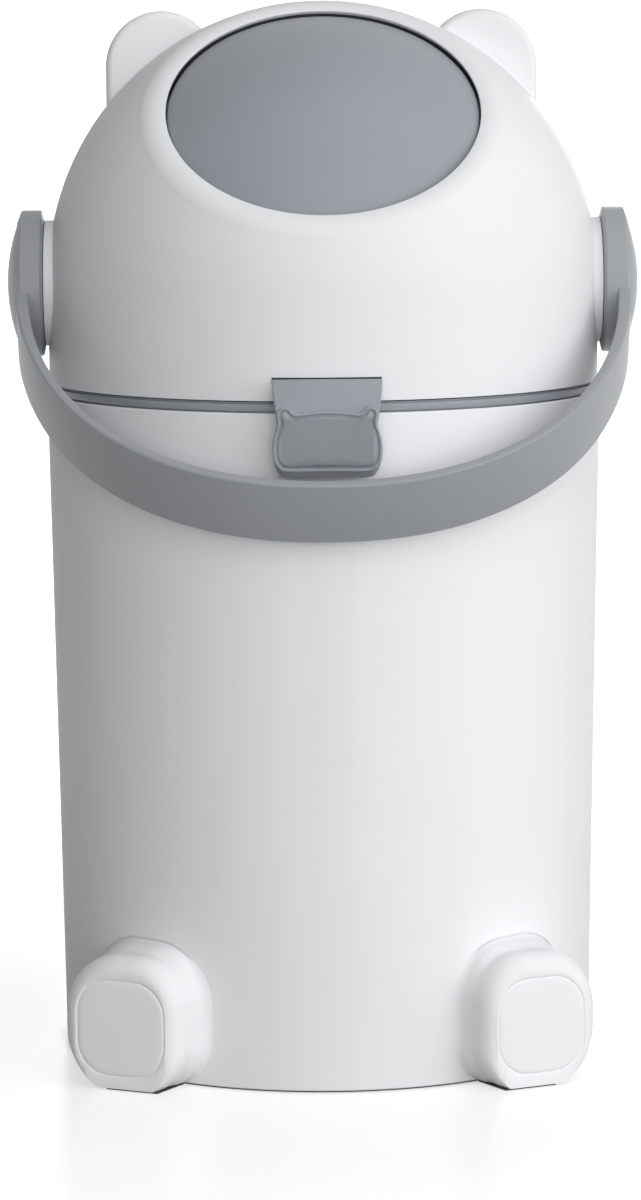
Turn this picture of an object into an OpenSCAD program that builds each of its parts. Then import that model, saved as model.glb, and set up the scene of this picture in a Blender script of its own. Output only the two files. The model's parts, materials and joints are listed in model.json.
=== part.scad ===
// Nappy bin with a turning drum in its head: lay the nappy in, swing the handle over, and it drops.
// Millimetres. +Z up, the front faces -Y, the origin is the centre of the base on the floor.

/* [Bin] */
// Outer radius of the bin wall at the floor
base_r = 131.6; // [126:0.2:136]
// How much wider the bin is at its rim
rim_flare = 5.5; // [2.6:0.1:9]
// Height of the bin wall
body_h = 326.4; // [280:0.2:400]
// Thickness of the bin wall
body_wall = 3; // [2:0.25:4]
// Thickness of the bin floor
floor_t = 3.5; // [2.5:0.25:6]
// Rounding of the bottom edge
foot_round = 2; // [1:0.25:4]
// Width of the shallow recess under the front edge
toe_w = 96; // [60:1:120]
// Height of that recess
toe_h = 0.6; // [0.3:0.1:2]

/* [Bag ring] */
// Height of the grey band between bin and head
ring_h = 5; // [4:0.25:8]
// How far the band and the head stand in from the rim
rim_step = 1.1; // [0.5:0.1:2]
// Width of the ring from the rim inwards to where the bag hangs through
ring_w = 14.1; // [12.5:0.1:15.5]
// Depth of the skirt that drops inside the rim
skirt_h = 12; // [8:0.5:20]
// Thickness of the skirt and of the bag lip
skirt_t = 2.5; // [1.5:0.25:3]
// Side clearance of the skirt inside the rim
skirt_gap = 1; // [0.8:0.1:1.5]
// Height and depth of the shadow lines above and below the band
reveal = 0.6; // [0.3:0.1:1]
// Width of the gasket in the ring
gasket_w = 4; // [2:0.25:5]
// Depth of the gasket in the ring
gasket_t = 2; // [1:0.25:3]

/* [Head] */
// Thickness of the head wall
head_wall = 3; // [2:0.25:4]
// Running gap in the seam under the head
seam_gap = 0.2; // [0.1:0.05:0.5]
// Height of the handle axis above the lower edge of the head
pivot_rise = 48.4; // [44:0.2:54]
// Height of the dome centre above the handle axis
dome_lift = 2; // [0:0.25:3]
// How far the dome's ball stands proud of the cylinder below it
dome_step = 0.1; // [0.05:0.05:0.3]
// Tilt of the opening towards the front
open_tilt = 38.6; // [30:0.2:45]
// Radius of the opening
open_r = 75.6; // [66:0.2:78]
// Width of the flat band round the opening before its blend
rim_w = 7.8; // [6:0.2:10]
// Radius of the blend from that band to the dome
rim_blend = 16; // [8:0.5:18]
// Radius of each ear
ear_r = 27.3; // [20:0.1:30]
// Angle of each ear from upright
ear_lean = 37.2; // [33:0.1:40]
// How deep each ear's centre lies inside the dome's surface
ear_sink = 5.4; // [0:0.2:10]
// Thickness of each ear from front to back
ear_t = 26; // [16:1:34]
// Rounding of the edges of each ear
ear_round = 7; // [3:0.5:7.5]
// Wall of each hollow ear
ear_wall = 3; // [2:0.25:4]

/* [Drum] */
// Space between the head wall and the drum
drum_gap = 6; // [5:0.25:8]
// Thickness of the drum shell
drum_wall = 2.5; // [2:0.25:3.5]
// Inner radius of the nappy chamber
chamber_r = 70; // [60:0.5:72]
// Thickness of the chamber wall
chamber_wall = 2.5; // [2:0.25:3]
// Distance of the chamber floor past the drum centre
chamber_reach = 58; // [40:1:70]
// Width of the flange at the chamber mouth
flange_w = 3.5; // [3:0.25:5]
// Thickness of that flange
flange_t = 3; // [2:0.25:4]
// Radius of the trunnions that carry the drum
trunnion_r = 14; // [10:0.25:16]
// Wall of the bosses that clamp the trunnions
boss_wall = 8; // [6:0.25:10]
// Depth of those bosses
boss_depth = 15; // [12:0.5:20]
// Running clearance of the trunnions in their bushes
run_gap = 0.06; // [0.03:0.01:0.09]
// Wall of the trunnion bushes
bush_wall = 4; // [3:0.25:6]

/* [Piston] */
// Radial clearance of the piston in the chamber
piston_gap = 1.6; // [1:0.1:2.5]
// Radial clearance of the piston seal in the chamber
piston_seal_gap = 0.35; // [0.3:0.05:0.6]
// Thickness of the piston plate and its skirt
piston_t = 2.6; // [2:0.1:4]
// Depth of the piston skirt
piston_skirt = 22; // [16:1:30]
// Inner radius of the ring that keeps the piston in, below the chamber radius
keep_w = 3.5; // [2.5:0.25:5]

/* [Handle] */
// Radius of the white stub on the head at each side
stub_r = 31; // [28:0.5:34]
// How far each stub stands out of the head
stub_out = 1.2; // [0.6:0.1:3]
// Gap between each stub and the handle hub
hub_gap = 0.3; // [0.3:0.05:0.8]
// Radius of the handle hub
hub_r = 36; // [34.5:0.25:42]
// Thickness of the handle hub
hub_w = 11.1; // [9:0.1:14]
// Width of the handle strap
strap_w = 34; // [28:0.5:40]
// Thickness of the handle strap
strap_t = 4.8; // [3.5:0.1:6]
// How far the strap reaches past the head's radius
strap_past = 51.2; // [48:0.2:64]
// Straight length of each handle arm before it curves
strap_straight = 34; // [26:0.5:40]
// Angle of the handle below level when it rests at the front
rest_angle = 32; // [30:0.5:36]
// Height of the hub's sloped face round its cap
hub_cone = 2.2; // [0.5:0.1:3]
// Radius of the hub caps
cap_r = 29.2; // [26:0.2:31]
// Height of the hub caps above that face
cap_rise = 5.2; // [3:0.1:8]
// Width of the groove round the hub caps
cap_groove = 1; // [0.4:0.1:1.5]

/* [Latch] */
// Width of the latch at its top
latch_w = 52; // [46:0.5:58]
// Distance of the latch pin in front of the head
latch_out = 5; // [4.8:0.1:6.5]
// Height of the latch pin above the lower edge of the head
latch_rise = 6.8; // [6:0.1:9]
// Radius of the rounded top of the latch
latch_top_r = 4.5; // [4:0.1:4.5]
// Slope of the latch's upper part from upright
latch_slope = 30; // [24:1:36]
// How far the latch plate stands in front of the pin
plate_out = 9; // [8:0.25:11]
// Thickness of the latch plate
plate_t = 3.4; // [2.8:0.1:4]
// Height of the latch plate
plate_h = 25.4; // [22:0.2:28]
// Radius of the latch pin
latch_pin_r = 1.25; // [1:0.05:1.5]

/* [Hinge] */
// Distance of the rear hinge pin behind the rim
hinge_out = 9; // [8.2:0.1:12]
// Height of the rear hinge pin above the rim
hinge_rise = 2.6; // [2.4:0.1:3.2]
// Radius of the hinge knuckles
knuckle_r = 5.5; // [4.5:0.1:6]
// Radius of the hinge pin
hinge_pin_r = 2.5; // [2:0.1:3]
// Half width of the head's knuckle
head_knuckle = 20; // [14:0.5:24]
// Width of each side knuckle
side_knuckle = 9; // [7:0.25:12]
// Side gap between knuckles
knuckle_gap = 0.5; // [0.3:0.1:1]

/* [Paws] */
// Direction in which each paw faces, outwards from straight ahead
paw_turn = 24.5; // [18:0.5:30]
// Sideways offset of each paw from that direction
paw_side = 38; // [30:0.5:42]
// How far the paw face stands out past the bin at the floor
paw_out = 23.4; // [18:0.2:28]
// Width of the paw pad
paw_w = 62; // [54:0.5:68]
// Height of the paw pad above the floor
paw_h = 65.5; // [56:0.5:70]
// Corner radius of the paw pad
paw_round = 24; // [16:0.5:26]
// Wall of each hollow paw
paw_wall = 3; // [2:0.25:4]
// How far the paw runs back from its face
paw_depth = 60; // [54:1:70]
// Distance between the two screws of each paw
paw_screw_gap = 28; // [20:1:34]

/* [Hidden] */
$fn = 96;
white = [0.93, 0.93, 0.94];
grey = [0.62, 0.64, 0.67];
dark = [0.2, 0.2, 0.21];
steel = [0.72, 0.72, 0.72];
eps = 0.01;
seat = 0.1;
hull_fn = 32;

rim_r = base_r + rim_flare;
function wall_r(z) = base_r + (rim_r - base_r) * z / body_h;
head_r = rim_r - rim_step;
head_in = head_r - head_wall;
ring_in_r = rim_r - ring_w;
head_z = body_h + ring_h + seam_gap;
pivot_z = head_z + pivot_rise;
dome_z = pivot_z + dome_lift;
rim_cut = sqrt(head_r * head_r - (open_r + rim_w) * (open_r + rim_w));
ear_x = (head_r - ear_sink) * sin(ear_lean);
ear_rise = (head_r - ear_sink) * cos(ear_lean);

drum_r = head_in - drum_gap;
drum_in = drum_r - drum_wall;
function drum_at(z) = sqrt(drum_r * drum_r - (z - pivot_z) * (z - pivot_z));
flange_r = chamber_r + chamber_wall + flange_w;
mouth_h = sqrt(drum_r * drum_r - flange_r * flange_r) - 0.25;
boss_r = trunnion_r + boss_wall;
boss_x = drum_r - boss_depth;
boss_end = sqrt(drum_r * drum_r - boss_r * boss_r) - 0.3;
key_w = trunnion_r * 1.36;

stub_x = head_r + stub_out;
stub_in = head_in - 4.5;
hub_x = stub_x + hub_gap;
hub_out = hub_x + hub_w;
hub_face = hub_out + hub_cone;
strap_reach = head_r + strap_past;
web_t = 5.1;
web_x = hub_x + web_t;
bush_r = trunnion_r + bush_wall;
recess_r = cap_r + cap_groove;
washer_t = 1.2;
washer_r = key_w * 0.74;
hub_screw_r = 2.1;

base_z = head_z + 0.6;
base_t = 2.4;
base_boss_h = 7.8;
boss_top = 17.4;
screw_ring_r = head_in - 3.8;
screw_boss_r = 4.4;
screw_r = 1.6;
screw_head_r = 2.9;
screw_seat = 4.8;

keep_t = 2;
piston_r = chamber_r - piston_gap;
piston_h = mouth_h - keep_t - 0.3;
groove_h = 3;

latch_y = -(head_r + latch_out);
latch_z = head_z + latch_rise;
lug_r = 2.8;
lug_half = latch_w / 2 - 4;
plate_y = latch_y - plate_out;
plate_top = latch_z - 11.7;
nose_y = latch_y - 0.5;

hinge_y = rim_r + hinge_out;
hinge_z = body_h + hinge_rise;
pin_half = head_knuckle + 2 * side_knuckle + 2 * knuckle_gap + 1.5;

paw_front = base_r + paw_out;
paw_screw_x = [paw_side - paw_screw_gap / 2, paw_side + paw_screw_gap / 2];
paw_neck = [9, 4, 7];
paw_screw_z = paw_h / 2;

// Shapes that repeat

module ring(r_in, r_out, z0, z1) {
    rotate_extrude() translate([r_in, z0]) square([r_out - r_in, z1 - z0]);
}

module rounded_rect(w, h, r) {
    square([w - 2 * r, h], center = true);
    square([w, h - 2 * r], center = true);
    for (x = [-1, 1], y = [-1, 1])
        translate([x * (w / 2 - r), y * (h / 2 - r)]) circle(r);
}

// A profile drawn in Y and Z, w wide along X about x
module prism_x(w, x = 0) {
    translate([x, 0, 0]) rotate([90, 0, 90]) linear_extrude(height = w, center = true) children();
}

// A profile drawn in X and Z, from y0 to y1
module prism_y(y0, y1) {
    translate([0, y1, 0]) rotate([90, 0, 0]) linear_extrude(height = y1 - y0) children();
}

module rod_x(r, x0, x1) {
    translate([x0, 0, 0]) rotate([0, 90, 0]) cylinder(h = x1 - x0, r = r);
}

module on_side(side) {
    mirror([side < 0 ? 1 : 0, 0, 0]) children();
}

module at_pivot() {
    translate([0, 0, pivot_z]) children();
}

// The drum's own frame: +Z points out of the opening while the handle rests at the front
module at_drum() {
    at_pivot() rotate([open_tilt, 0, 0]) children();
}

module at_dome() {
    translate([0, 0, dome_z]) rotate([open_tilt, 0, 0]) children();
}

module at_hinge() {
    translate([0, hinge_y, hinge_z]) children();
}

module at_latch() {
    translate([0, latch_y, latch_z]) children();
}

// Head: a cylinder under a dome that is cut flat at the opening

module cut_circle(r, cut) {
    intersection() {
        circle(r);
        translate([0, -r]) square([r, r + cut]);
    }
}

module dome_profile(r, cut, blend) {
    c = [sqrt(pow(r - blend, 2) - pow(cut - blend, 2)), cut - blend];
    far = c * r / (r - blend) * 1.03;
    difference() {
        cut_circle(r, cut);
        difference() {
            polygon([c, [c[0], cut + 2], [far[0], cut + 2], far]);
            translate(c) circle(blend);
        }
    }
}

module head_form(r, z0) {
    translate([0, 0, z0]) cylinder(h = dome_z - z0, r = r - dome_step);
    intersection() {
        at_dome() rotate_extrude() children();
        translate([-2 * r, -2 * r, dome_z - 0.2 * r]) cube([4 * r, 4 * r, 2 * r]);
    }
}

// One ear, drawn in the dome's height: a rounded disc on a straight stalk that runs into the dome
module ear_form(r, t, edge) {
    translate([ear_x, 0, dome_z + ear_rise]) {
        rotate([90, 0, 0]) rotate_extrude() intersection() {
            rounded_rect(2 * r, t, edge);
            translate([0, -t]) square([r, 2 * t]);
        }
        translate([0, 0, -0.6 * ear_rise]) linear_extrude(height = 0.6 * ear_rise)
            rounded_rect(2 * r, t, edge);
    }
}

module ears(inset) {
    for (side = [-1, 1]) on_side(side)
        translate([0, ear_t / 2, 0])
            ear_form(ear_r - inset, ear_t - 2 * inset, ear_round - 0.8 * inset);
}

module screw_places() {
    for (a = [45:90:315]) rotate([0, 0, a]) translate([screw_ring_r, 0, 0]) children();
}

module hinge_lug(x0, x1, wall_y, z_low, z_high) {
    prism_x(x1 - x0, (x0 + x1) / 2) {
        translate([hinge_y, hinge_z]) circle(knuckle_r);
        polygon([[wall_y, z_low], [hinge_y, hinge_z - knuckle_r * 0.5],
            [hinge_y, hinge_z + knuckle_r * 0.5], [wall_y, z_high]]);
    }
}

module hinge_bore() {
    at_hinge() rod_x(hinge_pin_r + 0.05, -2 * pin_half, 2 * pin_half);
}

module head_shell() color(white) difference() {
    union() {
        difference() {
            union() {
                head_form(head_r, head_z) dome_profile(head_r, rim_cut, rim_blend);
                ears(0);
            }
            head_form(head_in, head_z - 1)
                dome_profile(head_in, rim_cut - head_wall, rim_blend / 4);
            ears(ear_wall);
        }
        for (side = [-1, 1]) on_side(side) at_pivot() rod_x(stub_r, stub_in, stub_x);
        screw_places() translate([0, 0, base_z + base_boss_h])
            cylinder(h = boss_top - base_boss_h, r = screw_boss_r);
        hinge_lug(-head_knuckle, head_knuckle, head_r - 1.5, head_z + 0.6, head_z + 15);
        prism_x(2 * lug_half) {
            translate([latch_y, latch_z]) circle(lug_r);
            translate([latch_y, latch_z - lug_r]) square([latch_out + 1, lug_r - 0.4]);
        }
    }
    at_dome() cylinder(h = head_r, r = open_r);
    at_pivot() rod_x(bush_r + seat, -2 * head_r, 2 * head_r);
    screw_places() translate([0, 0, base_z]) cylinder(h = boss_top - 2, r = screw_r + seat);
    hinge_bore();
    at_latch() rod_x(latch_pin_r + 0.05, -latch_w, latch_w);
}

module head_base() color(white) difference() {
    intersection() {
        union() {
            ring(drum_at(base_z + base_t) + 2.5, head_in - 0.2, base_z, base_z + base_t);
            screw_places() translate([0, 0, base_z]) cylinder(h = base_boss_h, r = screw_boss_r);
        }
        translate([0, 0, base_z - 1]) cylinder(h = 4 * base_boss_h, r = head_in - 0.2);
    }
    screw_places() translate([0, 0, base_z - 1]) {
        cylinder(h = screw_seat + 1, r = screw_head_r + 0.3);
        cylinder(h = 2 * base_boss_h, r = screw_r + seat);
    }
}

module head_screws() color(steel) screw_places() translate([0, 0, base_z + screw_seat]) {
    translate([0, 0, -2]) cylinder(h = 2, r = screw_head_r);
    cylinder(h = boss_top - screw_seat - 3, r = screw_r);
}

// Rubber ring that closes the gap between the opening and the drum
module opening_seal() color(dark) {
    seal_in = open_r + 1.4;
    top = rim_cut - head_wall + dome_lift * cos(open_tilt) - seat / 2;
    low = sqrt(pow(drum_r + 0.4, 2) - seal_in * seal_in);
    at_drum() ring(seal_in, open_r + 4.2, low, top);
}

module drum_seal() color(dark) {
    top = base_z + base_t + 2.2;
    ring(drum_at(top) + 0.4, drum_at(top) + 5, base_z + base_t, top);
}

module hub_bush(side) color(dark) on_side(side) at_pivot() difference() {
    union() {
        rod_x(bush_r, stub_in - 1.3, stub_x - 0.1);
        rod_x(bush_r + 3, stub_in - 1.3, stub_in);
    }
    rod_x(trunnion_r + run_gap, 0, 2 * head_r);
}

// Drum: a ball in two halves, clamped on the trunnions, with the nappy chamber let in

module drum_half(low, high) at_drum() difference() {
    intersection() {
        union() {
            rotate_extrude() difference() {
                cut_circle(drum_r, drum_r);
                circle(drum_in);
            }
            for (side = [-1, 1]) on_side(side) rod_x(boss_r, boss_x, boss_end);
        }
        translate([0, 0, low]) cylinder(h = high - low, r = 2 * drum_r);
    }
    rod_x(trunnion_r + 0.05, -2 * drum_r, 2 * drum_r);
}

module drum_dome() color(grey) drum_half(0, 2 * drum_r);

module drum_base() color(grey) difference() {
    union() {
        drum_half(-2 * drum_r, 0);
        at_drum() ring(flange_r - flange_w, flange_r + 4, flange_t - mouth_h + seat,
            flange_t - mouth_h + seat + drum_wall);
    }
    at_drum() {
        translate([0, 0, -2 * drum_r])
            cylinder(h = 2 * drum_r - mouth_h + flange_t + seat, r = flange_r + seat);
        translate([0, 0, -drum_r]) cylinder(h = drum_r / 2, r = chamber_r + chamber_wall + seat);
    }
}

module drum_chamber() color(grey) at_drum() difference() {
    union() {
        translate([0, 0, -mouth_h])
            cylinder(h = mouth_h + chamber_reach + chamber_wall, r = chamber_r + chamber_wall);
        translate([0, 0, -mouth_h]) cylinder(h = flange_t, r = flange_r);
    }
    translate([0, 0, -drum_r]) cylinder(h = drum_r + chamber_reach, r = chamber_r);
    translate([0, 0, -drum_r]) cylinder(h = drum_r - mouth_h + keep_t + seat, r = chamber_r + 1.2);
}

module mouth_ring() color(grey) at_drum()
    ring(chamber_r - keep_w, chamber_r + 1.1, seat / 2 - mouth_h, keep_t - mouth_h);

module trunnion(side) color(white) on_side(side) at_pivot() difference() {
    union() {
        rod_x(boss_r - 2, boss_x - 3, boss_x);
        rod_x(trunnion_r, boss_x - 1, hub_x - 0.2);
        translate([hub_x - 1, 0, 0]) rotate([0, 90, 0])
            translate([-key_w / 2, -key_w / 2, 0]) cube([key_w, key_w, web_t + 0.8]);
    }
    rod_x(hub_screw_r, boss_x + 10, 2 * hub_out);
}

// Piston: slides in the chamber by its own weight and pushes the nappy out

module piston() color(white) at_drum() difference() {
    union() {
        translate([0, 0, -piston_h]) cylinder(h = piston_t, r = piston_r);
        ring(piston_r - piston_t, piston_r, -piston_h, piston_skirt - piston_h);
        for (a = [0, 90]) rotate([0, 0, a])
            translate([-piston_t / 2, 1 - piston_r, -piston_h])
                cube([piston_t, 2 * piston_r - 2, piston_skirt / 2]);
    }
    ring(piston_r - piston_t / 2, piston_r + 1, 3 * piston_t - piston_h,
        3 * piston_t + groove_h - piston_h);
}

module piston_seal() color(dark) at_drum()
    ring(piston_r - piston_t / 2 + seat, chamber_r - piston_seal_gap,
        3 * piston_t - piston_h + seat, 3 * piston_t + groove_h - piston_h - seat);

// Handle: a flat strap bent to a U, between two hubs

module arch(reach, half_w) {
    rise = reach - strap_straight;
    translate([-half_w, 0]) square([2 * half_w, strap_straight]);
    intersection() {
        translate([0, strap_straight]) scale([half_w / rise, 1]) circle(rise);
        translate([-2 * half_w, 0]) square([4 * half_w, 2 * reach]);
    }
}

module handle_hub() {
    edge = 1;
    rotate([0, 90, 0]) rotate_extrude() polygon([[0, hub_x], [stub_r + 0.4, hub_x],
        [hub_r, hub_x + edge], [hub_r, hub_out], [recess_r + 0.4, hub_face], [0, hub_face]]);
}

module handle() color(grey) at_pivot() difference() {
    union() {
        rotate([180 + rest_angle, 0, 0]) linear_extrude(height = strap_w, center = true)
            difference() {
                arch(strap_reach, hub_out);
                translate([0, -eps]) arch(strap_reach - strap_t + eps, hub_out - strap_t);
            }
        for (side = [-1, 1]) on_side(side) handle_hub();
    }
    for (side = [-1, 1]) on_side(side) {
        rod_x(recess_r, web_x, 2 * hub_out);
        translate([hub_x - 1, 0, 0]) rotate([0, 90, 0])
            translate([-key_w / 2 - seat, -key_w / 2 - seat, 0])
                cube([key_w + 2 * seat, key_w + 2 * seat, 2 * hub_w]);
    }
}

module hub_cap(side) color(grey) on_side(side) at_pivot() rotate([0, 90, 0]) rotate_extrude()
    difference() {
        cap_ball = (cap_r * cap_r + cap_rise * cap_rise) / (2 * cap_rise);
        cap_c = hub_face + cap_rise - cap_ball;
        intersection() {
            translate([0, cap_c]) circle(cap_ball);
            translate([0, web_x]) square([cap_r, 2 * hub_w]);
        }
        intersection() {
            translate([0, cap_c]) circle(cap_ball - 2);
            translate([0, web_x - 1]) square([cap_r - 2, 2 * hub_w]);
        }
    }

module hub_washers() color(steel) for (side = [-1, 1]) on_side(side) at_pivot() difference() {
    rod_x(washer_r, web_x, web_x + washer_t);
    rod_x(hub_screw_r + seat, 0, 2 * hub_out);
}

module hub_screws() color(steel) for (side = [-1, 1]) on_side(side) at_pivot() {
    rod_x(hub_screw_r - seat, boss_x + 12, web_x + washer_t);
    rod_x(2 * hub_screw_r, web_x + washer_t, web_x + washer_t + 2.6);
}

// Latch: hangs on the head and snaps over a rib on the bin

module plate_outline() {
    w = latch_w / 2;
    h = plate_h;
    half = [[0, 0.4], [0.58 * w, -1], [0.84 * w, -2], [0.94 * w, -0.33 * h], [0.98 * w, -0.54 * h],
        [0.965 * w, -0.75 * h], [0.9 * w, -0.9 * h], [0.8 * w, -0.975 * h], [0.72 * w, -h]];
    translate([0, plate_top]) {
        polygon([for (p = half) p, for (i = [len(half) - 1:-1:1]) [-half[i][0], half[i][1]]]);
        for (side = [-1, 1]) translate([side * 0.765 * w, -0.9]) circle(0.13 * w);
    }
}

module latch_flap() color(grey) {
    w = latch_w / 2;
    skin = 1.4;
    n = [-cos(latch_slope), sin(latch_slope)];
    run = (plate_out - 1 - latch_top_r * cos(latch_slope)) / sin(latch_slope);
    t = [-sin(latch_slope), -cos(latch_slope)] * run;
    low = plate_top - latch_z - 4;
    difference() {
        union() {
            intersection() {
                at_latch() prism_x(latch_w) {
                    difference() {
                        circle(latch_top_r);
                        circle(lug_r + 0.35);
                        polygon([[0, 0], [6, 6], [6, -12], [-12, -12], [3 * n[0], 3 * n[1]] * 4]);
                    }
                    polygon([n * latch_top_r, n * latch_top_r + t, [1 - plate_out, low],
                        [1 + 2 * skin - plate_out, low], n * (latch_top_r - skin) + t,
                        n * (latch_top_r - skin)]);
                }
                prism_y(2 * plate_y, 0) polygon([[-w, latch_z + 9], [-w, latch_z - 3],
                    [-0.84 * w, plate_top - 2], [-0.84 * w, plate_top - 9], [0.84 * w, plate_top - 9],
                    [0.84 * w, plate_top - 2], [w, latch_z - 3], [w, latch_z + 9]]);
            }
            for (side = [-1, 1]) at_latch() prism_x(w - lug_half - 0.4, side * (w + lug_half + 0.4) / 2) {
                circle(latch_top_r);
                polygon([n * latch_top_r, n * latch_top_r + t, [2 - plate_out, -9], [-2, -3.5]]);
            }
            prism_y(plate_y, plate_y + plate_t) plate_outline();
            prism_x(0.8 * w) polygon([[plate_y + plate_t - 1, plate_top - 10], [nose_y, plate_top - 14],
                [nose_y, plate_top - 16.5], [plate_y + plate_t - 1, plate_top - 21]]);
        }
        at_latch() rod_x(latch_pin_r + 0.05, -latch_w, latch_w);
        prism_y(plate_y - 1, plate_y + 0.6) translate([0, plate_top - plate_h / 2]) scale(0.9)
            translate([0, plate_h / 2 - plate_top]) plate_outline();
    }
}

module latch_pin() color(steel) at_latch() rod_x(latch_pin_r, -latch_w / 2, latch_w / 2);

// Bag ring: rests on the rim and turns back the top of the bag

module bag_ring() color(grey) difference() {
    union() {
        ring(ring_in_r, head_r, body_h, body_h + ring_h);
        ring(rim_r - body_wall - skirt_gap - skirt_t, rim_r - body_wall - skirt_gap,
            body_h - skirt_h, body_h + 1);
        ring(ring_in_r, ring_in_r + skirt_t, body_h - 0.6 * skirt_h, body_h + 1);
        for (side = [-1, 1]) on_side(side)
            hinge_lug(head_knuckle + knuckle_gap, head_knuckle + side_knuckle, head_r - 5,
                body_h + reveal, body_h + ring_h - reveal);
    }
    for (z = [body_h - eps, body_h + ring_h - reveal])
        ring(head_r - reveal, head_r + reveal, z, z + reveal + eps);
    ring(head_in - 6.2, head_in - 6.2 + gasket_w + 2 * seat, body_h + ring_h - gasket_t - seat,
        body_h + ring_h + 1);
    hinge_bore();
}

module ring_gasket() color(dark)
    ring(head_in - 6.2 + seat, head_in - 6.2 + seat + gasket_w, body_h + ring_h - gasket_t - seat,
        body_h + ring_h - seat);

module hinge_pin() color(steel) at_hinge() rod_x(hinge_pin_r, -pin_half, pin_half);

// Bin

module body_cone(grow, z0, z1) {
    translate([0, 0, z0]) cylinder(h = z1 - z0, r1 = wall_r(z0) + grow, r2 = wall_r(z1) + grow);
}

module bin_body() color(white) difference() {
    union() {
        difference() {
            rotate_extrude() {
                polygon([[0, 0], [wall_r(foot_round) - foot_round, 0],
                    [wall_r(foot_round) - foot_round, foot_round], [wall_r(foot_round), foot_round],
                    [rim_r, body_h], [0, body_h]]);
                intersection() {
                    translate([wall_r(foot_round) - foot_round, foot_round]) circle(foot_round);
                    translate([foot_round, 0]) square([2 * base_r, foot_round]);
                }
            }
            body_cone(-body_wall, floor_t, body_h + 1);
        }
        for (side = [-1, 1]) on_side(side)
            hinge_lug(head_knuckle + side_knuckle + knuckle_gap,
                head_knuckle + 2 * side_knuckle + knuckle_gap, rim_r - 5.5, body_h - 32, body_h - 3);
        prism_x(0.9 * latch_w / 2) polygon([[-wall_r(plate_top) + 1.5, plate_top - 15],
            [nose_y + 0.5, plate_top - 13.4], [nose_y + 0.5, plate_top - 12],
            [-wall_r(plate_top) + 1.5, plate_top - 9]]);
    }
    body_cone(-body_wall, floor_t, body_h + 1);
    translate([-toe_w / 2, -2 * base_r, -1]) cube([toe_w, base_r + 12, toe_h + 1]);
    hinge_bore();
    for (side = [-1, 1]) paw_screw_axes(side) cylinder(h = paw_front, r = screw_r + 2 * seat);
}

// Paws: hollow blocks screwed on from inside the bin

module at_paw(side) {
    on_side(side) rotate([0, 0, paw_turn]) rotate([90, 0, 0]) children();
}

module paw_screw_axes(side) {
    at_paw(side) for (x = paw_screw_x) translate([x, paw_screw_z, 0.6 * base_r]) children();
}

// A slice of the paw: how far it stands out, its narrow and wide side, its top and its corners
module paw_slice(out, x0, x1, top, r) {
    low = -4;
    translate([(x0 + x1) / 2, (low + top) / 2, out])
        linear_extrude(height = 0.1) rounded_rect(x1 - x0, top - low, r, $fn = hull_fn);
}

module paw_form(side, inset) {
    w = paw_w / 2 - inset;
    r = paw_round - inset;
    top = paw_h - inset;
    at_paw(side) {
        hull() for (s = [[0, 6], [0.6, 4], [1.8, 2.4], [4, 1], [7, 0.2], [10, 0], [14, 0.8], [17, 3]])
            paw_slice(paw_front - inset - s[0], paw_side - w + s[1], paw_side + w - s[1],
                top - s[1], r - s[1]);
        hull() {
            paw_slice(paw_front - 16, paw_side - w + 2, paw_side + w - 3, top - 3.5, r - 3);
            paw_slice(paw_front - 25, paw_side - w - 3, paw_side + w - 1, top + 1, r);
        }
        hull() {
            paw_slice(paw_front - 25, paw_side - w - 3, paw_side + w - 1, top + 1, r);
            paw_slice(paw_front - paw_depth, paw_side - w - paw_neck[0], paw_side + w + paw_neck[1],
                top + paw_neck[2], r);
        }
    }
}

module paw(side) color(white) difference() {
    union() {
        difference() {
            paw_form(side, 0);
            paw_form(side, paw_wall);
        }
        intersection() {
            paw_form(side, 0);
            union() {
                translate([-2 * base_r, -2 * base_r, -paw_wall])
                    cube([4 * base_r, 4 * base_r, 2 * paw_wall]);
                paw_screw_axes(side) cylinder(h = paw_front - 0.6 * base_r - 2, r = screw_r + 3);
            }
        }
    }
    body_cone(seat, -10, body_h);
    translate([-2 * base_r, -2 * base_r, -base_r]) cube([4 * base_r, 4 * base_r, base_r]);
    paw_screw_axes(side) cylinder(h = paw_front - 0.6 * base_r - 6, r = screw_r + seat);
}

module paw_screws() color(steel) for (side = [-1, 1], x = paw_screw_x) {
    inner = sqrt(pow(wall_r(paw_screw_z) - body_wall, 2) - pow(x + screw_head_r, 2));
    at_paw(side) translate([x, paw_screw_z, inner]) {
        translate([0, 0, -2.2]) cylinder(h = 2, r = screw_head_r);
        translate([0, 0, -1]) cylinder(h = paw_front - inner - 7, r = screw_r);
    }
}

bin_body();
paw(-1);  // paw_left
paw(1);  // paw_right
paw_screws();
hinge_pin();
bag_ring();
ring_gasket();
head_shell();
head_base();
head_screws();
opening_seal();
drum_seal();
hub_bush(-1);  // hub_bush_left
hub_bush(1);  // hub_bush_right
latch_flap();
latch_pin();
drum_dome();
drum_base();
drum_chamber();
mouth_ring();
trunnion(-1);  // trunnion_left
trunnion(1);  // trunnion_right
handle();
hub_cap(-1);  // hub_cap_left
hub_cap(1);  // hub_cap_right
hub_washers();
hub_screws();
piston();
piston_seal();
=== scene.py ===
import json
from math import acos, asin, atan2, cos, degrees, hypot, pi, radians, sin, sqrt, tan

import bpy
from mathutils import Matrix, Vector


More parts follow.
